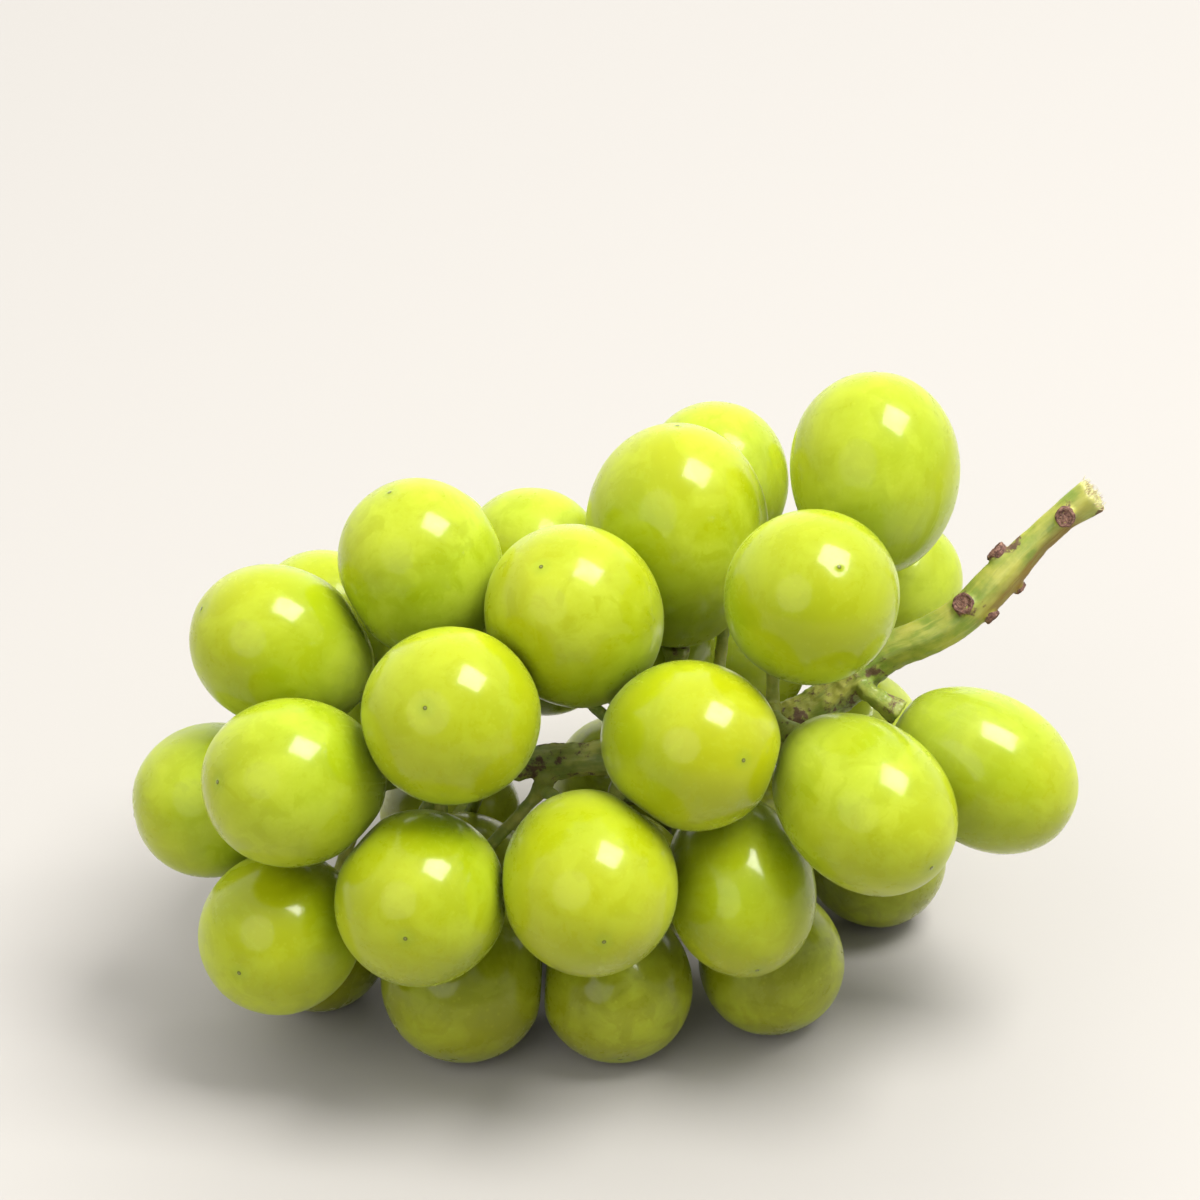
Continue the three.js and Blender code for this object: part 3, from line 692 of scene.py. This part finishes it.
def main_axis():
    """The middle line of the rachis and stalk, the runs along it, and where its parts meet."""
    rachis = [np.array([along * RACHIS_LENGTH, across * BERRY_WIDTH,
                        RACHIS_HEIGHT + up * BERRY_WIDTH]) + PART_SHIFT
              for along, across, up in RACHIS_ROUTE]
    stalk = [rachis[-1] + np.array(share) * STALK_LENGTH for share in STALK_ROUTE]
    points, runs = smooth_run(rachis + stalk)
    bare, bare_runs = smooth_run(rachis)
    roots = [at_run(bare, bare_runs, share * bare_runs[-1]) for share in LATERAL_ROOTS]
    beyond, beyond_runs = smooth_run([rachis[-1]] + stalk)

    def on_stalk(marks):
        placed = []
        for share, facing, width in marks:
            run = share * beyond_runs[-1]
            centre = at_run(beyond, beyond_runs, run)
            heading = at_run(beyond, beyond_runs, run + MM) - at_run(beyond, beyond_runs, run - MM)
            heading /= np.linalg.norm(heading)
            side = np.array(facing) - (np.array(facing) @ heading) * heading
            placed.append((centre, side / np.linalg.norm(side), heading, width))
        return placed

    return {"points": points, "runs": runs, "roots": roots, "shoulder": bare_runs[-1],
            "scars": on_stalk(SCARS), "patches": on_stalk(CORKY_PATCHES)}


def nearest(points, places):
    """How far each point is from the nearest of the places, and which one that is."""
    tree = kdtree.KDTree(len(places))
    for index, place in enumerate(places):
        tree.insert(place, index)
    tree.balance()
    found = [tree.find(point) for point in points]
    return np.array([f[2] for f in found]), np.array([f[1] for f in found])


def lumps(points, size, octaves=3):
    """Smooth random lumps about -1 to 1 high, of the given size."""
    return np.array([noise.fractal(Vector(p), 1.0, 2.0, octaves) for p in points / size])


def bell(distance, width):
    return np.exp(-((distance / width) ** 2))


def clear_of(points, berry):
    """Moves the points that lie inside a finished berry out to just off its skin."""
    mesh = berry["mesh"]
    skin = BVHTree.FromPolygons([vert.co for vert in mesh.vertices],
                                [face.vertices for face in mesh.polygons])
    close = np.linalg.norm(points - berry["centre"], axis=1) < berry["half_length"] * 1.1
    for index in np.flatnonzero(close):
        point = Vector(points[index])
        nearest_skin, outward, _, _ = skin.find_nearest(point)
        if (point - nearest_skin) @ outward < STEM_GAP:
            points[index] = nearest_skin + outward * STEM_GAP


def build_stem(material, axis, berries):
    work = bmesh.new()
    work.from_mesh(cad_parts["stem"].data)
    bmesh.ops.remove_doubles(work, verts=work.verts, dist=SAME_POINT)
    mesh = bpy.data.meshes.new("stem_branches")
    work.to_mesh(mesh)
    work.free()
    maker = bpy.data.objects.new("stem_maker", mesh)
    bpy.context.scene.collection.objects.link(maker)
    remesh = maker.modifiers.new("grow", "REMESH")
    remesh.mode = "VOXEL"
    remesh.voxel_size = STEM_VOXEL
    bpy.context.view_layer.update()
    graph = bpy.context.evaluated_depsgraph_get()
    mesh = bpy.data.meshes.new_from_object(maker.evaluated_get(graph), depsgraph=graph)
    bpy.data.objects.remove(maker)
    mesh.name = "stem_branches"
    edges = np.empty(len(mesh.edges) * 2, int)
    mesh.edges.foreach_get("vertices", edges)
    points = smooth_points(mesh_points(mesh), edges.reshape(-1, 2), 14)
    set_points(mesh, points)
    normals = np.array([vert.normal for vert in mesh.vertices])

    # Where each point is on the main axis: how far along it, and which side of it.
    off_axis, where = nearest(points, axis["points"])
    tangents = np.gradient(axis["points"], axis["runs"], axis=0)[where]
    tangents /= np.linalg.norm(tangents, axis=1)[:, None]
    side = np.cross(tangents, [0, 1, 0])
    side /= np.linalg.norm(side, axis=1)[:, None]
    top = np.cross(side, tangents)
    run = axis["runs"][where]
    out = points - axis["points"][where]
    on_axis = np.clip(1 - (off_axis - AXIS_CORE) / AXIS_FADE, 0, 1)
    around = np.arctan2((out * top).sum(1), (out * side).sum(1))

    by_root = bell(nearest(points, axis["roots"])[0], NODE_SPREAD)
    bases = [b["centre"] - b["axis"] * b["half_length"] for b in berries]
    by_base = bell(nearest(points, bases)[0], KNOB_SPREAD)
    end = axis["runs"][-1]
    by_cut = np.clip(1 - (end - run) / CUT_SPREAD, 0, 1) * on_axis
    by_scar = np.zeros(len(points))
    for centre, facing, _, width in axis["scars"]:
        seat = centre + facing * STALK_DIAMETER / 2
        by_scar = np.maximum(by_scar, bell(np.linalg.norm(points - seat, axis=1), width * 0.6))
    by_patch = np.zeros(len(points))
    for centre, facing, heading, width in axis["patches"]:
        off = points - centre - facing * STALK_DIAMETER / 2
        lengthwise = off @ heading
        crosswise = np.linalg.norm(off - np.outer(lengthwise, heading), axis=1)
        by_patch = np.maximum(by_patch, bell(np.hypot(lengthwise / 2, crosswise), width / 2))

    wander = lumps(np.column_stack([run, run * 0, run * 0]), RIB_WANDER, 1)
    ribs = RIB_HEIGHT * np.cos(5 * around + 3 * wander) * on_axis
    coarse = lumps(points, COARSE_LUMP)
    fine = lumps(points, FINE_LUMP)
    push = ribs + 0.10 * MM * coarse
    push += by_root * (0.35 * MM * np.maximum(fine, -0.3) + 0.25 * MM * coarse)
    push += by_base * 0.3 * MM * np.maximum(fine, 0)
    push += by_cut * 0.25 * MM * fine
    shaped = points + normals * push[:, None]
    for berry in berries:
        clear_of(shaped, berry)
    set_points(mesh, shaped)

    for face in mesh.polygons:
        face.use_smooth = True
    mesh.materials.clear()
    mesh.materials.append(material)
    grain = np.where(on_axis[:, None] > 0.3, np.column_stack(
        [run * 0.16, (out * side).sum(1), (out * top).sum(1)]), points * 0.7)
    layer = mesh.attributes.new("grain", "FLOAT_VECTOR", "POINT")
    layer.data.foreach_set("vector", grain.astype(np.float32).ravel())
    share = (run - axis["shoulder"]) / (end - axis["shoulder"])
    # The stalk's side facing down and to the front right, from partway along to near its cut, is
    # painted darker ochre.
    under = np.clip(normals @ np.array([0.62, -0.35, -0.70]) - 0.3, 0, 1) * on_axis
    under *= np.clip((share - 0.35) / 0.15, 0, 1) * np.clip((0.93 - share) / 0.1, 0, 1)
    keep_number(mesh, "underside_ochre", np.clip(under * 2.8, 0, 1))
    keep_number(mesh, "pale", by_cut)
    keep_number(mesh, "knob", np.clip(by_base + by_root * (1 - on_axis), 0, 1))
    keep_number(mesh, "cork", 0.42 * by_root + 0.5 * by_base + 0.5 * by_scar + 0.75 * by_patch
                + 0.06 * on_axis)
    return add_piece("stem_branches", mesh, ["stem"])


def scar_tree(cork):
    """A corky button: a low drum with a raised rim and a rough, sunken middle."""
    tree, given = shape_tree("corky_scar", {
        "Width": ("NodeSocketFloat", 3 * MM),
        "Height": ("NodeSocketFloat", 1 * MM),
        "Rim": ("NodeSocketFloat", 0.22 * MM),
        "Roughness": ("NodeSocketFloat", 0.25 * MM),
        "Seed": ("NodeSocketFloat", 0.0),
    })
    value = given.outputs
    ball = tree.node("GeometryNodeMeshUVSphere", None, Segments=48, Rings=36, Radius=1.0)
    place = tree.node("GeometryNodeInputPosition")
    split = tree.node("ShaderNodeSeparateXYZ", i0=place)
    outward = tree.vector_math("NORMALIZE", tree.combine(split.outputs[0], split.outputs[1], 0.0))
    up = split.outputs[2]
    spread = tree.math("SQRT", tree.math("MAXIMUM", tree.math(
        "SUBTRACT", 1.0, tree.math("MULTIPLY", up, up)), 0.0))
    share = tree.math("SINE", tree.math("MULTIPLY", spread, math.pi / 2))
    noise_4d = {"noise_dimensions": "4D"}
    wobble = tree.node("ShaderNodeTexNoise", noise_4d, Vector=place, W=value["Seed"], Scale=1.6,
                       Detail=2.0).outputs["Fac"]
    grit = tree.node("ShaderNodeTexNoise", noise_4d, Vector=place, W=value["Seed"], Scale=6.0,
                     Detail=3.0).outputs["Fac"]
    radius = tree.math("MULTIPLY", tree.math("MULTIPLY", share, value["Width"]),
                       tree.linear(wobble, 0.2, 0.8, 0.42, 0.58))
    drum = tree.math("MULTIPLY", tree.math("SIGN", up),
                     tree.math("POWER", tree.math("ABSOLUTE", up), 0.28))
    ratio = tree.math("DIVIDE", tree.math("SUBTRACT", share, 0.86), 0.13)
    rim = tree.math("EXPONENT", tree.math("MULTIPLY", tree.math("MULTIPLY", ratio, ratio), -1.0))
    top = tree.math("GREATER_THAN", up, 0.0)
    rim = tree.math("MULTIPLY", rim, top)
    lift = tree.math("ADD", tree.math("MULTIPLY", rim, value["Rim"]), tree.math(
        "MULTIPLY", tree.math("MULTIPLY", tree.math("SUBTRACT", grit, 0.5), 2.0),
        tree.math("MULTIPLY", value["Roughness"], top)))
    height = tree.math("ADD", tree.math("MULTIPLY", drum, value["Height"]), lift)
    body = tree.vector_math("ADD", tree.scale_vector(outward, radius),
                            tree.combine(0.0, 0.0, height))
    shaped = tree.node("GeometryNodeSetPosition", None, Geometry=ball, Position=body)
    stored = tree.node("GeometryNodeStoreNamedAttribute", {"data_type": "FLOAT"},
                       Geometry=shaped, Name="rim")
    tree.put(stored.inputs["Value"], rim)
    smooth = tree.node("GeometryNodeSetShadeSmooth", None, Geometry=stored)
    finish_group(tree, smooth.outputs[0], cork)
    return tree


def joined(name, meshes):
    """One mesh of several, with their materials and attributes."""
    work = bmesh.new()
    for mesh in meshes:
        work.from_mesh(mesh)
    whole = bpy.data.meshes.new(name)
    for material in meshes[0].materials:
        whole.materials.append(material)
    work.to_mesh(whole)
    work.free()
    return whole


def facing_matrix(centre, up, forward):
    """Turns +Z to up and +X to forward, and moves the middle to centre."""
    across = np.cross(up, forward)
    turn = np.column_stack([np.cross(across, up), across, up])
    return Matrix([[*turn[k], centre[k]] for k in range(3)] + [[0, 0, 0, 1]])


def build_scars(cork, axis):
    tree = scar_tree(cork)
    meshes = []
    for index, (centre, facing, heading, width) in enumerate(axis["scars"]):
        mesh = grow(tree, {"Width": width * SCAR_COVER, "Height": SCAR_HEIGHT + SCAR_SINK,
                           "Seed": 5.3 * index}, f"scar_{index}")
        seat = centre + facing * STALK_DIAMETER * 0.47
        mesh.transform(facing_matrix(seat, facing, heading))
        meshes.append(mesh)
    add_piece("stalk_scars", joined("stalk_scars", meshes), ())


def fibre_tree(straw):
    """Short torn fibres standing on a round cut."""
    tree, given = shape_tree("cut_fibres", {
        "Cut Radius": ("NodeSocketFloat", 3 * MM),
        "Per Square Metre": ("NodeSocketFloat", 7e6),
        "Length": ("NodeSocketFloat", 1.1 * MM),
        "Thickness": ("NodeSocketFloat", 0.16 * MM),
        "Splay": ("NodeSocketFloat", 0.6),
        "Seed": ("NodeSocketInt", 4),
    })
    value = given.outputs
    disc = tree.node("GeometryNodeMeshCircle", {"fill_type": "NGON"}, Vertices=32,
                     Radius=value["Cut Radius"])
    spots = tree.node("GeometryNodeDistributePointsOnFaces", None, Mesh=disc,
                      Density=value["Per Square Metre"], Seed=value["Seed"])
    half = tree.math("MULTIPLY", value["Thickness"], 0.5)
    fibre = tree.node("GeometryNodeMeshCone", {"fill_type": "NGON"}, Vertices=5,
                      Side_Segments=2, Depth=value["Length"])
    tree.put(fibre.inputs["Radius Top"], tree.math("MULTIPLY", half, 0.35))
    tree.put(fibre.inputs["Radius Bottom"], half)

    def random_vector(low, high, seed_shift):
        made = tree.node("FunctionNodeRandomValue", {"data_type": "FLOAT_VECTOR"})
        tree.put(made.inputs[0], low)
        tree.put(made.inputs[1], high)
        tree.put(made.inputs["Seed"], tree.math("ADD", value["Seed"], seed_shift))
        return made.outputs[0]

    lean = tree.scale_vector(random_vector((-1, -1, 0), (1, 1, 0), 1.0), value["Splay"])
    size = random_vector((0.6, 0.6, 0.3), (1.3, 1.3, 1.2), 2.0)
    stood = tree.node("GeometryNodeInstanceOnPoints", None, Points=spots.outputs["Points"],
                      Instance=fibre.outputs["Mesh"], Rotation=lean, Scale=size)
    finish_group(tree, stood.outputs[0], straw)
    return tree


def build_fibres(straw, axis):
    heading = axis["points"][-1] - axis["points"][-4]
    heading /= np.linalg.norm(heading)
    mesh = grow(fibre_tree(straw), {"Cut Radius": STALK_CUT_DIAMETER * 0.49}, "cut_fibres")
    centre = axis["points"][-1] - heading * 0.35 * MM
    mesh.transform(facing_matrix(centre, heading, np.cross(heading, [0, 1, 0])))
    add_piece("cut_fibres", mesh, ())


# ---- Studio ----

LENS = 112.5
CAMERA_PLACE = Vector((-2.4, -544.7, 371.6)) * MM
CAMERA_TARGET = Vector((-2.4, -19.9, 80.7)) * MM
FLOOR_HALF = 4.0
FLOOR_DROP = 0.02 * MM  # keeps the floor off the flats that rest on it

def aim(thing, target):
    direction = Vector(target) - thing.location
    thing.rotation_euler = direction.to_track_quat("-Z", "Y").to_euler()


def area_light(name, direction, distance, size, power, target=(0, 0, 0.05), shape="SQUARE"):
    light = bpy.data.lights.new(name, "AREA")
    light.shape = shape
    light.size = size
    light.energy = power
    thing = bpy.data.objects.new(name, light)
    bpy.context.scene.collection.objects.link(thing)
    thing.location = Vector(target) + Vector(direction).normalized() * distance
    aim(thing, target)
    return thing


def build_world():
    """White surroundings above and behind, dimmer in front, where the room is."""
    world = bpy.data.worlds.new("studio")
    world.use_nodes = True
    tree = Tree(world.node_tree)
    background = tree.nodes["Background"]
    heading = tree.node("ShaderNodeTexCoord").outputs["Generated"]
    split = tree.node("ShaderNodeSeparateXYZ", i0=heading)
    lean = tree.math("ADD", tree.math("MULTIPLY", split.outputs[1], 0.75),
                     tree.math("MULTIPLY", split.outputs[2], 0.65))
    light = tree.smooth(lean, -0.5, 0.6, 0.44, 1.3)
    tree.put(background.inputs["Color"], tree.combine(light, light, light))
    background.inputs["Strength"].default_value = 1.0
    bpy.context.scene.world = world


def build_studio():
    camera = bpy.data.cameras.new("camera")
    camera.lens = LENS
    camera.sensor_width = 36
    camera.clip_start = 0.01
    holder = bpy.data.objects.new("camera", camera)
    bpy.context.scene.collection.objects.link(holder)
    holder.location = CAMERA_PLACE
    aim(holder, CAMERA_TARGET)
    bpy.context.scene.camera = holder

    area_light("key", (0.39, -0.10, 0.92), 1.5, 0.76, 36.5)
    area_light("fill", (-0.45, -0.74, 0.50), 1.1, 1.0, 4.6, shape="DISK")
    backdrop = area_light("backdrop_light", (0, 0.2, 1), 1.3, 1.6, 64.0, target=(0, 2.2, 0))
    backdrop.visible_glossy = False
    build_world()
    bpy.context.scene.view_settings.view_transform = "Standard"

    mesh = bpy.data.meshes.new("floor")
    signs = ((-1, -1), (1, -1), (1, 1), (-1, 1))
    corners = [(x * FLOOR_HALF, y * FLOOR_HALF, 0) for x, y in signs]
    mesh.from_pydata(corners, [], [(0, 1, 2, 3)])
    floor = bpy.data.objects.new("floor", mesh)
    bpy.context.scene.collection.objects.link(floor)
    floor.location = (0, 0, -FLOOR_DROP)
    material, tree, shader = new_material("pale_floor")
    shader.inputs["Base Color"].default_value = (0.33, 0.312, 0.288, 1)
    shader.inputs["Roughness"].default_value = 0.8
    mesh.materials.append(material)


build_studio()
berries = build_berries(grape_skin())
axis = main_axis()
build_stem(green_stem(), axis, berries)
build_scars(corky_scar(), axis)
build_fibres(dry_fibre(), axis)
